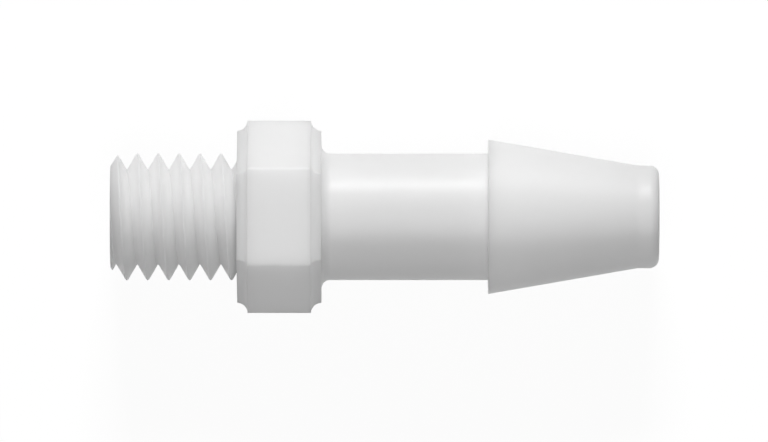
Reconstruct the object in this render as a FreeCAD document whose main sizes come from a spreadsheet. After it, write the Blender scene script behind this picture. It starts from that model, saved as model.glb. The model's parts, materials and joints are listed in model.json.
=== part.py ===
import FreeCAD, Part
import Sketcher
import os

# A threaded hose nipple, moulded in one piece, in millimetres.
# +X runs along the axis from the thread to the barb, and the origin is on the axis in the plane of the
# hexagon's shoulder, which seats on the port. Flats of the hexagon face +Z and -Z, corners point to
# +Y and -Y.

NODE = "hose_nipple"

# Driving dimensions: name, size, what it is
SIZES = [
    ("thread_diameter", 4.826, "major diameter of the thread"),
    ("thread_pitch", 0.79375, "32 threads to the inch"),
    ("thread_angle", 60, "angle between the thread's flanks, in degrees"),
    ("thread_crest", 0.05, "width of the flat on the crest"),
    ("thread_root", 0.05, "width of the flat at the root"),
    ("thread_length", 4.8, "shoulder to the threaded end"),
    ("thread_phase", 0.61, "shoulder to the last crest, on the +Y side"),
    ("lead_diameter", 3.88, "small end of the cone that starts the thread"),
    ("lead_length", 0.32, "length of that cone"),
    ("relief_clearance", 0.04, "thread's crests to the edge of the relief round them in the shoulder"),
    ("relief_depth", 0.03, "depth of that relief, so that only the ring outside it seats"),
    ("hex_flats", 6.35, "hexagon across its flats"),
    ("hex_length", 3.2, "length of the hexagon"),
    ("hex_rounding", 0.12, "radius on the hexagon's six long edges"),
    ("cove_radius", 0.395, "hollow round both ends of the hexagon"),
    ("neck_diameter", 4.8, "plain neck that the hose closes on"),
    ("neck_length", 6.32, "hexagon to the barb's rim"),
    ("neck_fillet", 0.33, "radius where the neck leaves the hexagon"),
    ("barb_diameter", 5.86, "rim of the barb"),
    ("barb_taper", 5.67, "length of the barb's cone"),
    ("tip_diameter", 3.9, "plain end that enters the hose"),
    ("tip_length", 0.81, "length of that end"),
    ("tip_rounding", 0.36, "radius on its outer edge"),
    ("thread_bore", 2.3, "passage on the thread's side"),
    ("barb_bore", 2.8, "passage on the barb's side"),
    ("step_depth", 1.4, "shoulder to the step between the two"),
    ("step_length", 0.3, "length of the cone at that step"),
    ("overrun", 0.3, "how far a cut passes the face that it starts from"),
]

# Places worked out from those sizes, as expressions of the sheet's cells
THREAD_RADIUS = "sizes.thread_diameter / 2"
THREAD_END = "-sizes.thread_length"
RELIEF_RADIUS = f"{THREAD_RADIUS} + sizes.relief_clearance"
CORNER_RADIUS = "sizes.hex_flats / sqrt(3)"
NECK_RADIUS = "sizes.neck_diameter / 2"
RIM = "sizes.hex_length + sizes.neck_length"
TAPER_END = f"{RIM} + sizes.barb_taper"
BARB_END = f"{TAPER_END} + sizes.tip_length"


def sheet_of_sizes(doc):
    """The spreadsheet that holds the driving dimensions, one alias for each."""
    sheet = doc.addObject("Spreadsheet::Sheet", "sizes")
    for row, (alias, size, meaning) in enumerate(SIZES, start=1):
        sheet.set(f"A{row}", alias)
        sheet.set(f"B{row}", str(size))
        sheet.set(f"C{row}", meaning)
        sheet.setAlias(f"B{row}", alias)
    return sheet


def origin_feature(body, role):
    """An axis or plane of the body's own origin."""
    return next(f for f in body.Origin.OriginFeatures if f.Role == role)


def new_sketch(body, name, role):
    """An empty sketch on one of the body's origin planes."""
    sketch = body.newObject("Sketcher::SketchObject", name)
    sketch.AttachmentSupport = (origin_feature(body, role), [""])
    sketch.MapMode = "FlatFace"
    return sketch


def place(sketch, edge, end, kind, expression):
    """Ties one end of an edge to the sketch's origin along one axis, by an expression."""
    if expression == "0":
        axis = {"DistanceX": -2, "DistanceY": -1}[kind]
        sketch.addConstraint(Sketcher.Constraint("PointOnObject", edge, end, axis))
        return
    value = float(sketch.evalExpression(expression))
    where = sketch.addConstraint(Sketcher.Constraint(kind, -1, 1, edge, end, value))
    sketch.setExpression(f"Constraints[{where}]", expression)


def point_at(sketch, along, across):
    """Where two expressions put a point in the sketch's plane."""
    return FreeCAD.Vector(
        float(sketch.evalExpression(along)), float(sketch.evalExpression(across)), 0
    )


def add_outline(sketch, corners):
    """A closed outline. A corner is (along, across), or (along, across, centre_along, centre_across) where
    a quarter circle about that centre, and no straight line, leads on to the next corner."""
    first = sketch.GeometryCount
    count = len(corners)
    for here, there in zip(corners, corners[1:] + corners[:1]):
        start, end = point_at(sketch, *here[:2]), point_at(sketch, *there[:2])
        if len(here) == 2:
            sketch.addGeometry(Part.LineSegment(start, end), False)
        else:
            sketch.addGeometry(quarter_circle(start, end, point_at(sketch, *here[2:])), False)
    ends = [ends_of(sketch.Geometry[first + i], corners[i], sketch) for i in range(count)]
    for i, corner in enumerate(corners):
        before = first + (i - 1) % count
        joint = Sketcher.Constraint("Coincident", before, ends[i - 1][1], first + i, ends[i][0])
        sketch.addConstraint(joint)
        place(sketch, first + i, ends[i][0], "DistanceX", corner[0])
        place(sketch, first + i, ends[i][0], "DistanceY", corner[1])
        if len(corner) == 4:
            place(sketch, first + i, 3, "DistanceX", corner[2])


def quarter_circle(start, end, centre):
    """The quarter circle about centre between two points, counter-clockwise as a sketch's arcs are."""
    first, last = start - centre, end - centre
    if first.cross(last).z < 0:
        start, end = end, start
    outward = first + last
    outward.normalize()
    return Part.Arc(start, centre + outward * first.Length, end)


def ends_of(edge, corner, sketch):
    """Which ends of an edge, 1 or 2, are its start and its finish along the outline."""
    start = point_at(sketch, *corner[:2])
    forward = edge.StartPoint.distanceToPoint(start) < edge.EndPoint.distanceToPoint(start)
    return (1, 2) if forward else (2, 1)


def turn(body, kind, name, corners):
    """A Revolution or a Groove about +X of an outline in the XY plane."""
    sketch = new_sketch(body, f"{name}_outline", "XY_Plane")
    add_outline(sketch, corners)
    feature = body.newObject(f"PartDesign::{kind}", name)
    feature.Profile = sketch
    feature.ReferenceAxis = (sketch, ["H_Axis"])
    feature.Angle = 360


def add_thread(body):
    """The turned blank with its lead cone, and the 60 degree groove wound round it, right-handed."""
    inside = "sizes.hex_length / 2"
    turn(body, "Revolution", "thread_blank", [
        (THREAD_END, "0"),
        (THREAD_END, "sizes.lead_diameter / 2"),
        (f"{THREAD_END} + sizes.lead_length", THREAD_RADIUS),
        (inside, THREAD_RADIUS),
        (inside, "0"),
    ])
    section = new_sketch(body, "thread_groove_section", "XY_Plane")
    slope = "tan(sizes.thread_angle / 2)"
    cut = "(sizes.thread_pitch - sizes.thread_crest - sizes.thread_root) / 2"
    past = "sizes.thread_crest / 3"
    middle = "1.5 * sizes.thread_pitch - sizes.thread_phase"
    half_root = "sizes.thread_root / 2"
    half_top = f"({half_root} + {cut} + {past} * {slope})"
    bottom = f"{THREAD_RADIUS} - {cut} / {slope}"
    top = f"{THREAD_RADIUS} + {past}"
    add_outline(section, [
        (f"{middle} - {half_top}", top),
        (f"{middle} - {half_root}", bottom),
        (f"{middle} + {half_root}", bottom),
        (f"{middle} + {half_top}", top),
    ])
    groove = body.newObject("PartDesign::SubtractiveHelix", "thread_groove")
    groove.Profile = section
    groove.ReferenceAxis = (section, ["H_Axis"])
    groove.Mode = "pitch-height-angle"
    groove.setExpression("Pitch", "sizes.thread_pitch")
    groove.setExpression("Height", f"sizes.thread_length + {middle} + sizes.thread_pitch")
    groove.Reversed = True
    groove.LeftHanded = False


def add_hexagon(body):
    """The hexagon that a spanner turns, its long edges a little round. It is open in the middle, where the
    neck's root fills it to within the relief's depth of the shoulder."""
    sketch = new_sketch(body, "hex_outline", "YZ_Plane")
    radius = float(sketch.evalExpression(CORNER_RADIUS))
    spoke = FreeCAD.Vector(radius, 0, 0)
    turns = [FreeCAD.Rotation(FreeCAD.Vector(0, 0, 1), 60 * i) for i in range(6)]
    corners = [turn_by.multVec(spoke) for turn_by in turns]
    for here, there in zip(corners, corners[1:] + corners[:1]):
        sketch.addGeometry(Part.LineSegment(here, there), False)
    circle = add_circle(sketch, CORNER_RADIUS, construction=True)
    for i in range(6):
        sketch.addConstraint(Sketcher.Constraint("Coincident", i, 2, (i + 1) % 6, 1))
        sketch.addConstraint(Sketcher.Constraint("PointOnObject", i, 1, circle))
    for i in range(1, 6):
        sketch.addConstraint(Sketcher.Constraint("Equal", 0, i))
    sketch.addConstraint(Sketcher.Constraint("PointOnObject", 0, 1, -1))
    add_circle(sketch, RELIEF_RADIUS, construction=False)
    pad = body.newObject("PartDesign::Pad", "hexagon")
    pad.Profile = sketch
    pad.setExpression("Length", "sizes.hex_length")
    body.Document.recompute()
    rounding = body.newObject("PartDesign::Fillet", "hex_rounding")
    rounding.Base = (pad, long_edges(pad.Shape, radius))
    rounding.setExpression("Radius", "sizes.hex_rounding")


def add_circle(sketch, expression, construction):
    """A circle round the sketch's origin, its radius by expression. Gives its number."""
    radius = float(sketch.evalExpression(expression))
    form = Part.Circle(FreeCAD.Vector(), FreeCAD.Vector(0, 0, 1), radius)
    circle = sketch.addGeometry(form, construction)
    sketch.addConstraint(Sketcher.Constraint("Coincident", circle, 3, -1, 1))
    size = sketch.addConstraint(Sketcher.Constraint("Radius", circle, radius))
    sketch.setExpression(f"Constraints[{size}]", expression)
    return circle


def long_edges(shape, radius):
    """The names of the six edges that run along the axis at the hexagon's corners."""
    names = []
    for number, edge in enumerate(shape.Edges, start=1):
        middle = edge.CenterOfMass
        off_axis = FreeCAD.Vector(0, middle.y, middle.z).Length
        straight = abs(edge.BoundBox.XLength - edge.Length) < 1e-6
        if straight and abs(off_axis - radius) < 1e-3:
            names.append(f"Edge{number}")
    return names


def add_coves(body):
    """The hollow that runs round both ends of the hexagon and mitres at its corners. Its section is a
    quarter circle in the plane through a corner, cut along one flat and repeated on the other five."""
    sketch = new_sketch(body, "cove_sections", "XY_Plane")
    for face, inward in (("0", 1), ("sizes.hex_length", -1)):
        reach = f"{face} + {inward} * sizes.cove_radius"
        outside = f"{CORNER_RADIUS} + sizes.overrun"
        add_outline(sketch, [
            (face, f"{CORNER_RADIUS} - sizes.cove_radius", face, CORNER_RADIUS),
            (reach, CORNER_RADIUS),
            (reach, outside),
            (face, outside),
        ])
    pocket = body.newObject("PartDesign::Pocket", "cove_on_one_flat")
    pocket.Profile = sketch
    pocket.UseCustomVector = True
    pocket.AlongSketchNormal = False
    pocket.Direction = FreeCAD.Rotation(FreeCAD.Vector(1, 0, 0), 120).multVec(FreeCAD.Vector(0, 1, 0))
    pocket.SideType = "Symmetric"
    pocket.setExpression("Length", f"4 * {CORNER_RADIUS}")
    pattern = body.newObject("PartDesign::PolarPattern", "coves")
    pattern.Originals = [pocket]
    pattern.Axis = (origin_feature(body, "X_Axis"), [""])
    pattern.Angle = 360
    pattern.Occurrences = 6
    body.Tip = pattern


def add_neck_and_barb(body):
    """The plain neck from its root in the hexagon, with a fillet where it leaves it, then the barb's sharp
    rim and long cone, and the rounded end."""
    flare = "sizes.neck_fillet"
    tip_radius = "sizes.tip_diameter / 2"
    rounding = "sizes.tip_rounding"
    root = "sizes.relief_depth"
    turn(body, "Revolution", "neck_and_barb", [
        (root, "0"),
        (root, f"{NECK_RADIUS} + {flare}"),
        ("sizes.hex_length", f"{NECK_RADIUS} + {flare}",
         f"sizes.hex_length + {flare}", f"{NECK_RADIUS} + {flare}"),
        (f"sizes.hex_length + {flare}", NECK_RADIUS),
        (RIM, NECK_RADIUS),
        (RIM, "sizes.barb_diameter / 2"),
        (TAPER_END, tip_radius),
        (f"{BARB_END} - {rounding}", tip_radius,
         f"{BARB_END} - {rounding}", f"{tip_radius} - {rounding}"),
        (BARB_END, f"{tip_radius} - {rounding}"),
        (BARB_END, "0"),
    ])


def add_passage(body):
    """The passage right through, wider on the barb's side, with a short cone at the step."""
    narrow = "sizes.thread_bore / 2"
    wide = "sizes.barb_bore / 2"
    turn(body, "Groove", "passage", [
        (f"{THREAD_END} - sizes.overrun", "0"),
        (f"{THREAD_END} - sizes.overrun", narrow),
        ("sizes.step_depth", narrow),
        ("sizes.step_depth + sizes.step_length", wide),
        (f"{BARB_END} + sizes.overrun", wide),
        (f"{BARB_END} + sizes.overrun", "0"),
    ])


def main():
    doc = FreeCAD.newDocument("hose_nipple_document")
    sheet_of_sizes(doc)
    doc.recompute()
    body = doc.addObject("PartDesign::Body", NODE)
    body.Label = NODE
    add_thread(body)
    add_neck_and_barb(body)
    doc.recompute()
    add_hexagon(body)
    doc.recompute()
    add_coves(body)
    doc.recompute()
    add_passage(body)
    doc.recompute()
    for feature in doc.Objects:
        if {"Invalid", "Error"} & set(feature.State):
            raise RuntimeError(f"{feature.Name} failed: {feature.State}")
    shape = body.Shape
    if shape.isNull() or not shape.isValid():
        raise RuntimeError(f"{NODE} has no valid shape")
    os.makedirs("parts", exist_ok=True)
    shape.exportStep(f"parts/{body.Label}.step")
    print(NODE, "solids", len(shape.Solids), "faces", len(shape.Faces), "volume", round(shape.Volume, 3))


main()
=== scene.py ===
import json
import math

import bpy
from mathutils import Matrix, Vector


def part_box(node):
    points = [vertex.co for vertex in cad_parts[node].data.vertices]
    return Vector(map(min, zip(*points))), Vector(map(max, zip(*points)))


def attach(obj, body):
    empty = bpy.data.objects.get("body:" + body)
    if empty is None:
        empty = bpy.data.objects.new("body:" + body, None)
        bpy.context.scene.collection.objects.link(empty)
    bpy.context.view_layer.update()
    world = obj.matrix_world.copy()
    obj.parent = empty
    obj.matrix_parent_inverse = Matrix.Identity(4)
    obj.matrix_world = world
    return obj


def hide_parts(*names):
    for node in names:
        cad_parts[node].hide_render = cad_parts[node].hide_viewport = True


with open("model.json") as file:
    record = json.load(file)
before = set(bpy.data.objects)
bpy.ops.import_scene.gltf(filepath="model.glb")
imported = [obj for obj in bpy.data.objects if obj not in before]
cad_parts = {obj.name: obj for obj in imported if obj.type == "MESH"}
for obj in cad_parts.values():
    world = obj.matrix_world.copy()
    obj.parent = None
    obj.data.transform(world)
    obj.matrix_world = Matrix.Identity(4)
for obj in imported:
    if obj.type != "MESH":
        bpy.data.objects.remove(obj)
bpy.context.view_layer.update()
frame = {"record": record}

# The nipple: metres in the frame, millimetres here, as in the part's source
NODE = "hose_nipple"
MM = 0.001
BOX_LOW, BOX_HIGH = (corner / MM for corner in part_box(NODE))
MOUNTS = {mount["name"]: mount for mount in frame["record"]["mounts"]}

THREAD_END = BOX_LOW.x
THREAD_RADIUS = MOUNTS["thread"]["dims"]["r_mm"]
THREAD_PITCH = 0.79375
THREAD_PHASE = 0.61
THREAD_ANGLE = 60
FLANK_SLOPE = 1 / math.tan(math.radians(THREAD_ANGLE / 2))
CREST_HALF_WIDTH = 0.025
ROOT_HALF_WIDTH = 0.025
LEAD_RADIUS = 1.94
LEAD_LENGTH = 0.32
RELIEF_WIDTH = 0.04
RELIEF_RADIUS = THREAD_RADIUS + RELIEF_WIDTH
RELIEF_DEPTH = 0.03

SIXTH = math.radians(60)
HEX_APOTHEM = BOX_HIGH.z
HEX_CORNER = HEX_APOTHEM / math.cos(SIXTH / 2)
HEX_LENGTH = 3.2
HEX_ROUNDING = 0.12
COVE = 0.395
MITRE_ROUNDING = 0.05

NECK_RADIUS = 2.4
NECK_FILLET = 0.33
RIM_X = 9.52
RIM_RADIUS = MOUNTS["hose_barb"]["dims"]["r_mm"]
RIM_FILLET = 0.04
TIP_RADIUS = 1.95
TIP_LENGTH = 0.81
TIP_BLEND = 1.4
TIP_ROUNDING = 0.36
TIP_X = BOX_HIGH.x

THREAD_BORE = MOUNTS["thread_passage"]["dims"]["r_mm"]
BARB_BORE = MOUNTS["barb_passage"]["dims"]["r_mm"]
STEP_X = 1.4
STEP_LENGTH = 0.3

# What a mould leaves on every edge
EDGE = 0.03
CREST_SOFTNESS = 0.07
ROOT_SOFTNESS = 0.03
LEAD_SOFTNESS = 0.04

# The mesh: columns round the axis, rows along it
CORNER_COLUMNS = 3
FLAT_COLUMNS = 14
COLUMN_SPREAD = 1.5
EDGE_STEPS = 3
ROUND_STEPS = 9
ROWS_BY_CREST = [0, 0.012, 0.026, 0.042, 0.064, 0.1]
ROWS_BY_ROOT = [0.1, 0.07, 0.048, 0.03, 0.014, 0]
FLANK_ROWS = 4
BRACE = 0.03
BRACED_LENGTH = 0.12
SHARP_ANGLE = 38
# The mesh attribute that holds each vertex's painted shade
PAINTED_SHADE = "shade"

# The photograph's view: straight down, the axis across the picture
VIEW_WIDTH = 29.14
VIEW_CENTRE = (5.573, -0.159)
CAMERA_DISTANCE = 550
SENSOR_WIDTH = 36
CLIP_START = 50
CLIP_END = 5000

# The stage, in metres. Seen directly, the floor is a share of glowing white and the rest is paper.
FLOOR_SIZE = 1.2
FLOOR_GAP = 0.005 * MM
FLOOR_WHITE_SHARE = 0.8
FLOOR_GLOW = 1.15
PAPER_GREY = (0.55, 0.55, 0.55, 1)
PAPER_ROUGHNESS = 0.9
WORLD_LEVEL = 0.12
LAMP_DISTANCE = 0.4
# Each lamp: name, azimuth from +Y towards +X and height in degrees, length and width in metres, level
LAMPS = [
    ("key", 0, 30, 0.1, 0.08, 0.69),
    ("front", 180, 73, 0.2, 0.2, 0.3),
    ("low", 180, 20, 0.2, 0.2, 0.06),
]

# The plastic. The scales of its mottle and its grain are per metre.
WHITE_LOW = (0.955, 0.955, 0.955, 1)
WHITE_HIGH = (0.975, 0.975, 0.975, 1)
MOTTLE_SCALE = 900
MOTTLE_DETAIL = 3
# Painted shade in the thread's groove: how far from the root it reaches, in millimetres, and how much darker
# it paints the colour at the root
PAINTED_GROOVE_REACH = 0.3
PAINTED_GROOVE_SHADE = 0.12
SCATTER_WEIGHT = 1.0
SCATTER_DEPTH = 1.5 * MM
REFRACTION = 1.5
GLOSS = 0.22
ROUGHNESS_LOW = 0.35
ROUGHNESS_HIGH = 0.43
GRAIN_SCALE = 9000
GRAIN_DETAIL = 4
GRAIN_STRENGTH = 0.1
GRAIN_HEIGHT = 0.01 * MM


def soft_min(a, b, softness):
    """The smaller of two numbers, with the corner between them rounded off."""
    overlap = max(softness - abs(a - b), 0) / softness
    return min(a, b) - overlap * overlap * softness / 4


def soft_max(a, b, softness):
    """The larger of two numbers, with the corner between them rounded off."""
    return -soft_min(-a, -b, softness)


def arc(centre_x, centre_r, radius, start, finish, steps):
    """Points along an arc in the (x, radius) plane, its angles in degrees from +X towards outward."""
    points = []
    for i in range(steps + 1):
        angle = math.radians(start + (finish - start) * i / steps)
        points.append((centre_x + radius * math.cos(angle), centre_r + radius * math.sin(angle)))
    return points


def braced(points):
    """The points with two more in each long straight stretch, near its ends, which keep its shading even."""
    path = points[:1]
    for start, end in zip(points, points[1:]):
        length = math.dist(start, end)
        if length > BRACED_LENGTH:
            for share in (BRACE / length, 1 - BRACE / length):
                path.append(tuple(a + (b - a) * share for a, b in zip(start, end)))
        path.append(end)
    return path


def corner_turn(rounding):
    """How far round the axis a rounded corner of the hexagon reaches to either side."""
    tangent = rounding / math.sqrt(3)
    return math.atan2(tangent * math.sqrt(3) / 2, HEX_CORNER - tangent / 2)


def column_angles():
    """The columns' angles from +Y towards +Z, close together across each of the hexagon's corners and wider
    apart away from them."""
    turn = corner_turn(HEX_ROUNDING)
    near = [turn * i / CORNER_COLUMNS for i in range(CORNER_COLUMNS)]
    spread = [(i / FLAT_COLUMNS) ** COLUMN_SPREAD for i in range(FLAT_COLUMNS + 1)]
    far = [turn + (SIXTH / 2 - turn) * share for share in spread]
    half = near + far
    sector = half + [SIXTH - angle for angle in reversed(half[1:-1])]
    return [SIXTH * i + angle for i in range(6) for angle in sector]


def hexagon_radius(angle, rounding):
    """Axis to the hexagon's outline at an angle, with its corners rounded off."""
    off_corner = abs((angle + SIXTH / 2) % SIXTH - SIXTH / 2)
    if off_corner >= corner_turn(rounding):
        return HEX_APOTHEM / math.cos(SIXTH / 2 - off_corner)
    centre = HEX_CORNER - rounding * 2 / math.sqrt(3)
    return centre * math.cos(off_corner) + math.sqrt(rounding**2 - (centre * math.sin(off_corner)) ** 2)


def hexagon_ring(x, depth, angles):
    """A ring round the hexagon, where depth is how far its sharp corner would be cut down in a cove."""
    share = (HEX_CORNER - depth) / HEX_CORNER
    return [
        (x, min(hexagon_radius(a, HEX_ROUNDING), share * hexagon_radius(a, MITRE_ROUNDING)))
        for a in angles
    ]


def cove_path():
    """(distance from the hexagon's face, depth below its corner) across a cove with softened edges."""
    reach = math.sqrt((COVE + EDGE) ** 2 - EDGE**2)
    lean = math.degrees(math.asin(EDGE / (COVE + EDGE)))
    by_face = arc(EDGE, reach, EDGE, 180, 270 - lean, EDGE_STEPS)
    hollow = arc(0, 0, COVE, 90 - lean, lean, ROUND_STEPS)
    by_flat = arc(reach, EDGE, EDGE, 180 + lean, 270, EDGE_STEPS)
    return [(0, reach + BRACE)] + by_face + hollow[1:-1] + by_flat + [(reach + BRACE, 0)]


def hexagon_rings(angles):
    """The hexagon from the shoulder to its far face: a cove, the flats and the other cove."""
    cove = cove_path()
    near = [hexagon_ring(along, depth, angles) for along, depth in cove]
    far = [hexagon_ring(HEX_LENGTH - along, depth, angles) for along, depth in reversed(cove)]
    return near + far


def barb_profile():
    """(x, radius) from the hexagon's far face over the neck, the rim and the cone to the barb's mouth."""
    root = NECK_RADIUS + NECK_FILLET
    cone_end = TIP_X - TIP_LENGTH
    lean = math.atan2(RIM_RADIUS - TIP_RADIUS, cone_end - RIM_X)
    rim_centre_x = RIM_X + EDGE
    rim_centre = RIM_RADIUS - EDGE * math.tan(lean) - EDGE / math.cos(lean)
    points = arc(HEX_LENGTH + NECK_FILLET, root, NECK_FILLET, 180, 270, ROUND_STEPS)
    points += arc(RIM_X - RIM_FILLET, NECK_RADIUS + RIM_FILLET, RIM_FILLET, 270, 360, EDGE_STEPS)
    points += arc(rim_centre_x, rim_centre, EDGE, 180, 90 - math.degrees(lean), EDGE_STEPS)
    blend_x = cone_end + TIP_BLEND * math.tan(lean / 2)
    points += arc(blend_x, TIP_RADIUS + TIP_BLEND, TIP_BLEND, 270 - math.degrees(lean), 270, EDGE_STEPS)
    points += arc(TIP_X - TIP_ROUNDING, TIP_RADIUS - TIP_ROUNDING, TIP_ROUNDING, 90, 0, ROUND_STEPS)
    points += arc(TIP_X - EDGE, BARB_BORE + EDGE, EDGE, 0, -90, EDGE_STEPS)
    return points


def passage_profile():
    """(x, radius) along the passage from the barb's mouth to the thread's, with its step."""
    points = [(STEP_X + STEP_LENGTH, BARB_BORE), (STEP_X, THREAD_BORE)]
    points += arc(THREAD_END + EDGE, THREAD_BORE + EDGE, EDGE, -90, -180, EDGE_STEPS)
    return points + [(THREAD_END, THREAD_BORE + EDGE + BRACE)]


def off_crest(x, angle):
    """Along the axis to the nearest crest of the thread, which is wound to the right."""
    turns = (-THREAD_PHASE - x) / THREAD_PITCH + angle / (2 * math.pi)
    return abs(turns - round(turns)) * THREAD_PITCH


def fading(distance, reach):
    """1 at no distance, and smoothly down to 0 at the reach."""
    share = max(0, 1 - distance / reach)
    return share * share * (3 - 2 * share)


def painted_thread_shade(x, angle):
    """How much painted shade darkens the plastic's colour in the thread's groove, most in its middle."""
    off_root = THREAD_PITCH / 2 - off_crest(x, angle)
    return PAINTED_GROOVE_SHADE * fading(off_root, PAINTED_GROOVE_REACH)


def thread_radius(x, angle):
    """Axis to the thread's surface: 60 degree flanks, and the cone that leads it in."""
    flank = THREAD_RADIUS - (off_crest(x, angle) - CREST_HALF_WIDTH) * FLANK_SLOPE
    flank_height = (THREAD_PITCH / 2 - CREST_HALF_WIDTH - ROOT_HALF_WIDTH) * FLANK_SLOPE
    crested = soft_min(flank, THREAD_RADIUS, CREST_SOFTNESS)
    ridge = soft_max(crested, THREAD_RADIUS - flank_height, ROOT_SOFTNESS)
    lead = LEAD_RADIUS + (x - THREAD_END) * (THREAD_RADIUS - LEAD_RADIUS) / LEAD_LENGTH
    return soft_min(ridge, lead, LEAD_SOFTNESS)


def rows_of_one_turn():
    """How far after its crest each row of one turn lies, in pitches, closer by the crest and the root."""
    half = THREAD_PITCH / 2
    first, last = ROWS_BY_CREST[-1], half - ROWS_BY_ROOT[0]
    flank = [first + (last - first) * i / (FLANK_ROWS + 1) for i in range(1, FLANK_ROWS + 1)]
    down = ROWS_BY_CREST + flank + [half - off_root for off_root in ROWS_BY_ROOT]
    up = [THREAD_PITCH - along for along in reversed(down[1:-1])]
    return [along / THREAD_PITCH for along in down + up]


class Skin:
    """The vertices and faces of one closed surface, in millimetres."""

    def __init__(self, angles):
        self.angles = angles
        self.vertices = []
        self.painted_shades = []
        self.faces = []

    def point(self, x, radius, angle, shade=0):
        """A new vertex, by its place along, away from and round the axis, and how much painted shade darkens
        it.
        """
        self.vertices.append((x, radius * math.cos(angle), radius * math.sin(angle)))
        self.painted_shades.append(shade)
        return len(self.vertices) - 1

    def ring(self, places):
        """New vertices all the way round, from one (x, radius) for each column."""
        return [self.point(x, radius, angle) for (x, radius), angle in zip(places, self.angles)]

    def lathe_ring(self, x, radius):
        """New vertices all the way round at one x and one radius."""
        return self.ring([(x, radius)] * len(self.angles))

    def face(self, *corners):
        """A face, or nothing where its corners have run together."""
        kept = [corner for i, corner in enumerate(corners) if corner != corners[i - 1]]
        if len(set(kept)) >= 3:
            self.faces.append(kept)

    def bridge(self, ring, other):
        """The faces between two rings."""
        for i in range(len(ring)):
            after = (i + 1) % len(ring)
            self.face(ring[i], ring[after], other[after], other[i])

    def thread(self, end_ring, shoulder_ring):
        """The thread between two rings. Its rows follow the helix and stop where they meet either ring.
        Each ends at the start of the row one turn nearer the shoulder."""
        turn_rows = rows_of_one_turn()
        turns = math.ceil(-THREAD_END / THREAD_PITCH) + 1
        rows = [turn + off for turn in range(-1, turns) for off in turn_rows]
        columns = len(self.angles)
        grid = []
        for row in rows:
            grid.append([self.thread_vertex(row, i, end_ring, shoulder_ring) for i in range(columns)])
        starts = [shoulder_ring[0]] * len(turn_rows) + [row[0] for row in grid]
        for row, start in zip(grid, starts):
            row.append(start)
        for here, below in zip(grid, grid[1:]):
            for i in range(columns):
                self.face(below[i], below[i + 1], here[i + 1], here[i])

    def thread_vertex(self, row, column, end_ring, shoulder_ring):
        """The vertex of a helical row in a column, or the ring's own where the row has passed it."""
        angle = self.angles[column]
        x = THREAD_PITCH * (angle / (2 * math.pi) - row) - THREAD_PHASE
        if x >= RELIEF_DEPTH:
            return shoulder_ring[column]
        if x <= THREAD_END:
            return end_ring[column]
        return self.point(x, thread_radius(x, angle), angle, painted_thread_shade(x, angle))


def nipple_skin():
    """The whole surface, closed through the passage."""
    angles = column_angles()
    skin = Skin(angles)
    end_ring = skin.ring([(THREAD_END, thread_radius(THREAD_END, a)) for a in angles])
    shoulder_ring = skin.ring([(RELIEF_DEPTH, thread_radius(RELIEF_DEPTH, a)) for a in angles])
    skin.thread(end_ring, shoulder_ring)
    rings = [shoulder_ring, skin.lathe_ring(RELIEF_DEPTH, RELIEF_RADIUS), skin.lathe_ring(0, RELIEF_RADIUS)]
    rings += [skin.ring(places) for places in hexagon_rings(angles)]
    rings += [skin.lathe_ring(x, radius) for x, radius in braced(barb_profile() + passage_profile())]
    rings.append(end_ring)
    for ring, other in zip(rings, rings[1:]):
        skin.bridge(ring, other)
    return skin


def in_scene(name, data):
    """A new object in the scene, from its mesh, light or camera."""
    thing = bpy.data.objects.new(name, data)
    bpy.context.scene.collection.objects.link(thing)
    return thing


def build_nipple():
    """The nipple's mesh object, smooth but for its sharp edges, which keeps its painted shade for the
    plastic's colour.
    """
    skin = nipple_skin()
    mesh = bpy.data.meshes.new("moulded_nipple")
    mesh.from_pydata([Vector(v) * MM for v in skin.vertices], [], skin.faces)
    mesh.validate()
    mesh.shade_smooth()
    mesh.set_sharp_from_angle(angle=math.radians(SHARP_ANGLE))
    painted_shades = mesh.attributes.new(PAINTED_SHADE, "FLOAT", "POINT")
    painted_shades.data.foreach_set("value", skin.painted_shades)
    return in_scene("moulded_nipple", mesh)


def noise(nodes, links, place, scale, detail):
    """A noise between 0 and 1 at each place."""
    texture = nodes.new("ShaderNodeTexNoise")
    texture.inputs["Scale"].default_value = scale
    texture.inputs["Detail"].default_value = detail
    links.new(place, texture.inputs["Vector"])
    return texture.outputs["Fac"]


def mottled_white_with_painted_shade(nodes, links, place):
    """The plastic's colour: a faint mottle, with painted shade darkening it in the thread's groove."""
    mottle = nodes.new("ShaderNodeMix")
    mottle.data_type = "RGBA"
    mottle.inputs["A"].default_value = WHITE_LOW
    mottle.inputs["B"].default_value = WHITE_HIGH
    links.new(noise(nodes, links, place, MOTTLE_SCALE, MOTTLE_DETAIL), mottle.inputs["Factor"])
    shade = nodes.new("ShaderNodeAttribute")
    shade.attribute_name = PAINTED_SHADE
    brightness = nodes.new("ShaderNodeMath")
    brightness.operation = "SUBTRACT"
    brightness.inputs[0].default_value = 1
    links.new(shade.outputs["Fac"], brightness.inputs[1])
    colour = nodes.new("ShaderNodeVectorMath")
    colour.operation = "SCALE"
    links.new(mottle.outputs["Result"], colour.inputs[0])
    links.new(brightness.outputs["Value"], colour.inputs["Scale"])
    return colour.outputs["Vector"]


def add_grain(nodes, links, shader, place):
    """The fine grain that a mould leaves, in the plastic's roughness and its relief."""
    grain = noise(nodes, links, place, GRAIN_SCALE, GRAIN_DETAIL)
    gloss = nodes.new("ShaderNodeMapRange")
    gloss.inputs["To Min"].default_value = ROUGHNESS_LOW
    gloss.inputs["To Max"].default_value = ROUGHNESS_HIGH
    links.new(grain, gloss.inputs["Value"])
    links.new(gloss.outputs["Result"], shader.inputs["Roughness"])
    bump = nodes.new("ShaderNodeBump")
    bump.inputs["Strength"].default_value = GRAIN_STRENGTH
    bump.inputs["Distance"].default_value = GRAIN_HEIGHT
    links.new(grain, bump.inputs["Height"])
    links.new(bump.outputs["Normal"], shader.inputs["Normal"])


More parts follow.
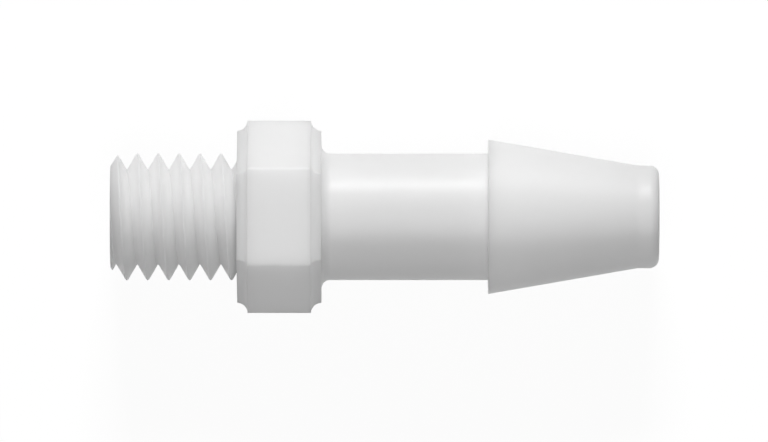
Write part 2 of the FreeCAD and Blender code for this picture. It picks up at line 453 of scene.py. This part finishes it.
def white_plastic():
    """Satin white moulded plastic, which scatters light under its skin."""
    material = bpy.data.materials.new("white_plastic")
    material.use_nodes = True
    nodes, links = material.node_tree.nodes, material.node_tree.links
    shader = nodes["Principled BSDF"]
    shader.inputs["Subsurface Weight"].default_value = SCATTER_WEIGHT
    shader.inputs["Subsurface Radius"].default_value = (1, 1, 1)
    shader.inputs["Subsurface Scale"].default_value = SCATTER_DEPTH
    shader.inputs["IOR"].default_value = REFRACTION
    shader.inputs["Specular IOR Level"].default_value = GLOSS
    place = nodes.new("ShaderNodeTexCoord").outputs["Object"]
    links.new(mottled_white_with_painted_shade(nodes, links, place), shader.inputs["Base Color"])
    add_grain(nodes, links, shader, place)
    return material


def floor_material():
    """White paper: seen directly it is white with a faint shadow, and it lights what lies on it."""
    material = bpy.data.materials.new("white_paper")
    material.use_nodes = True
    nodes, links = material.node_tree.nodes, material.node_tree.links
    paper = nodes["Principled BSDF"]
    paper.inputs["Base Color"].default_value = PAPER_GREY
    paper.inputs["Roughness"].default_value = PAPER_ROUGHNESS
    paper.inputs["Specular IOR Level"].default_value = 0
    white = nodes.new("ShaderNodeEmission")
    white.inputs["Strength"].default_value = FLOOR_GLOW
    share = nodes.new("ShaderNodeMath")
    share.operation = "MULTIPLY"
    share.inputs[1].default_value = FLOOR_WHITE_SHARE
    links.new(seen_directly(nodes, links), share.inputs[0])
    mix = nodes.new("ShaderNodeMixShader")
    links.new(share.outputs["Value"], mix.inputs["Fac"])
    links.new(paper.outputs["BSDF"], mix.inputs[1])
    links.new(white.outputs["Emission"], mix.inputs[2])
    links.new(mix.outputs["Shader"], nodes["Material Output"].inputs["Surface"])
    return material


def seen_directly(nodes, links):
    """1 for camera, glossy and transmission rays, 0 for the light that reaches the object."""
    path = nodes.new("ShaderNodeLightPath")
    total = path.outputs["Is Camera Ray"]
    for name in ("Is Glossy Ray", "Is Transmission Ray"):
        step = nodes.new("ShaderNodeMath")
        step.operation = "MAXIMUM"
        links.new(total, step.inputs[0])
        links.new(path.outputs[name], step.inputs[1])
        total = step.outputs["Value"]
    return total


def build_floor():
    """A white floor, just under the flat that the nipple lies on."""
    half = FLOOR_SIZE / 2
    z = BOX_LOW.z * MM - FLOOR_GAP
    mesh = bpy.data.meshes.new("floor")
    corners = [(-half, -half, z), (half, -half, z), (half, half, z), (-half, half, z)]
    mesh.from_pydata(corners, [], [(0, 1, 2, 3)])
    mesh.materials.append(floor_material())
    floor = in_scene("floor", mesh)


def build_world():
    """A plain grey light from all round, which the camera sees as white."""
    world = bpy.data.worlds.new("studio")
    bpy.context.scene.world = world
    world.use_nodes = True
    nodes, links = world.node_tree.nodes, world.node_tree.links
    sky = nodes["Background"]
    sky.inputs["Color"].default_value = (1, 1, 1, 1)
    level = nodes.new("ShaderNodeMapRange")
    level.inputs["To Min"].default_value = WORLD_LEVEL
    level.inputs["To Max"].default_value = 1
    links.new(seen_directly(nodes, links), level.inputs["Value"])
    links.new(level.outputs["Result"], sky.inputs["Strength"])


def add_lamp(name, azimuth, height, length, width, level):
    """A soft lamp that points at the nipple, its length level and its two angles in degrees. At a level of 1
    a small lamp shows a surface that faces it in the colour it is written in."""
    turn, rise = math.radians(azimuth), math.radians(height)
    way = Vector((math.sin(turn) * math.cos(rise), math.cos(turn) * math.cos(rise), math.sin(rise)))
    light = bpy.data.lights.new(name, "AREA")
    light.shape = "RECTANGLE"
    light.size = length
    light.size_y = width
    light.energy = level * math.pi**2 * LAMP_DISTANCE**2
    lamp = in_scene(name, light)
    target = Vector((VIEW_CENTRE[0] * MM, 0, 0))
    lamp.location = target + way * LAMP_DISTANCE
    lamp.rotation_mode = "QUATERNION"
    lamp.rotation_quaternion = (-way).to_track_quat("-Z", "Y")


def build_camera():
    """A long lens straight above the nipple, framed as in the photograph."""
    camera = bpy.data.cameras.new("camera")
    camera.sensor_width = SENSOR_WIDTH
    camera.lens = SENSOR_WIDTH * CAMERA_DISTANCE / VIEW_WIDTH
    camera.clip_start = CLIP_START * MM
    camera.clip_end = CLIP_END * MM
    view = in_scene("camera", camera)
    view.location = (VIEW_CENTRE[0] * MM, VIEW_CENTRE[1] * MM, CAMERA_DISTANCE * MM)
    bpy.context.scene.camera = view


bpy.context.scene.view_settings.view_transform = "Standard"
build_camera()
build_world()
for lamp in LAMPS:
    add_lamp(*lamp)
build_floor()
nipple = build_nipple()
nipple.data.materials.append(white_plastic())
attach(nipple, "root")
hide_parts(NODE)
